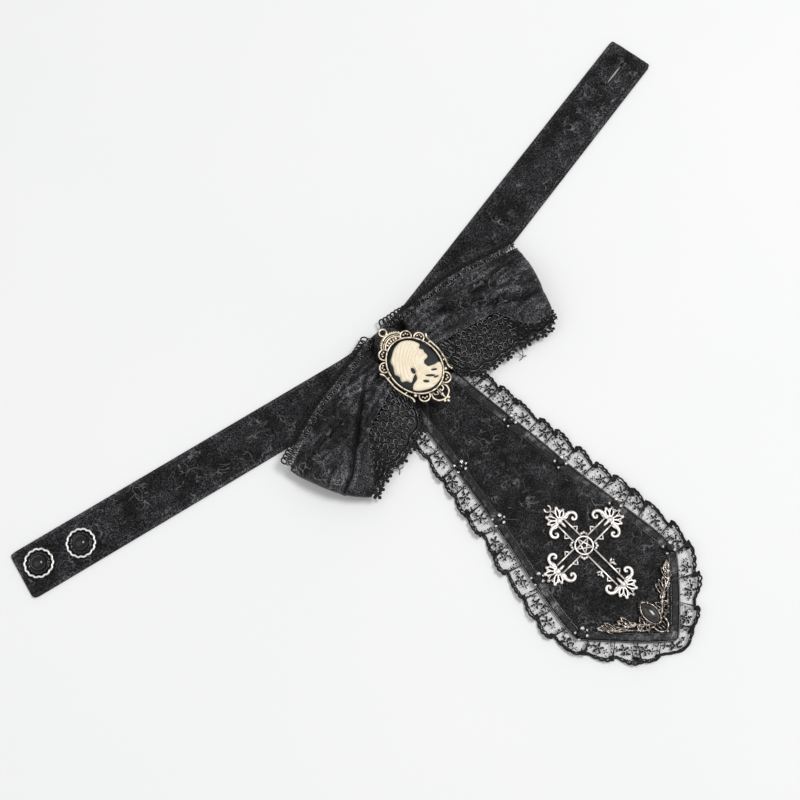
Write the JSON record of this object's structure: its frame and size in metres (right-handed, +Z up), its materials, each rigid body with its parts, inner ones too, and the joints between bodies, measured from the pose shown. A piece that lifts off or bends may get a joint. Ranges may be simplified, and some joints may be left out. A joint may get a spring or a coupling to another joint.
{
  "type": "bow jabot collar",
  "caption": "Unfastened neck band with buttons, a lace-edged bow with a framed cameo, and a tie-shaped jabot with a pleated lace ruffle, a cross and a corner ornament.",
  "frame": {"origin": "underside of the neck band at centre front, on the surface it lies on", "axes": "+Z up from the surface, jabot along -Y, band arms along +X and -X, buttons on the -X arm"},
  "size_m": [0.4204, 0.252, 0.0169],
  "materials": {
    "velvet": "crinkled black velvet",
    "guipure_lace": "black cotton guipure lace",
    "net_lace": "sheer black net lace",
    "button_metal": "bright silver tone",
    "button_black": "glossy black",
    "antique_gold": "antique pale gold tone",
    "plaque_black": "satin black resin",
    "ivory_resin": "satin ivory resin",
    "antique_silver": "antique silver tone",
    "dark_bronze": "dark antique tone",
    "smoky_glass": "smoky clear resin cabochon",
    "bead_black": "faceted black bead"
  },
  "bodies": {
    "root": {"neck_band": "velvet", "button_rim_1": "button_metal", "button_rim_2": "button_metal", "button_centre_1": "button_black", "button_centre_2": "button_black", "bow_loop_left": "velvet", "bow_loop_right": "velvet", "bow_centre": "velvet", "bow_lace_upper_left": "guipure_lace", "bow_lace_upper_right": "guipure_lace", "bow_lace_lower_left": "guipure_lace", "bow_lace_lower_right": "guipure_lace", "jabot_panel": "velvet", "ruffle_header": "net_lace", "lace_ruffle": "net_lace", "cameo_frame": "antique_gold", "cameo_plaque": "plaque_black", "cameo_relief": "ivory_resin", "cross_charm": "antique_silver", "corner_filigree": "dark_bronze", "corner_stone": "smoky_glass", "seam_bead_1": "bead_black", "seam_bead_2": "bead_black", "seam_bead_3": "bead_black", "seam_bead_4": "bead_black", "seam_bead_5": "bead_black", "seam_bead_6": "bead_black", "seam_bead_7": "bead_black", "seam_bead_8": "bead_black"}
  },
  "joints": []
}
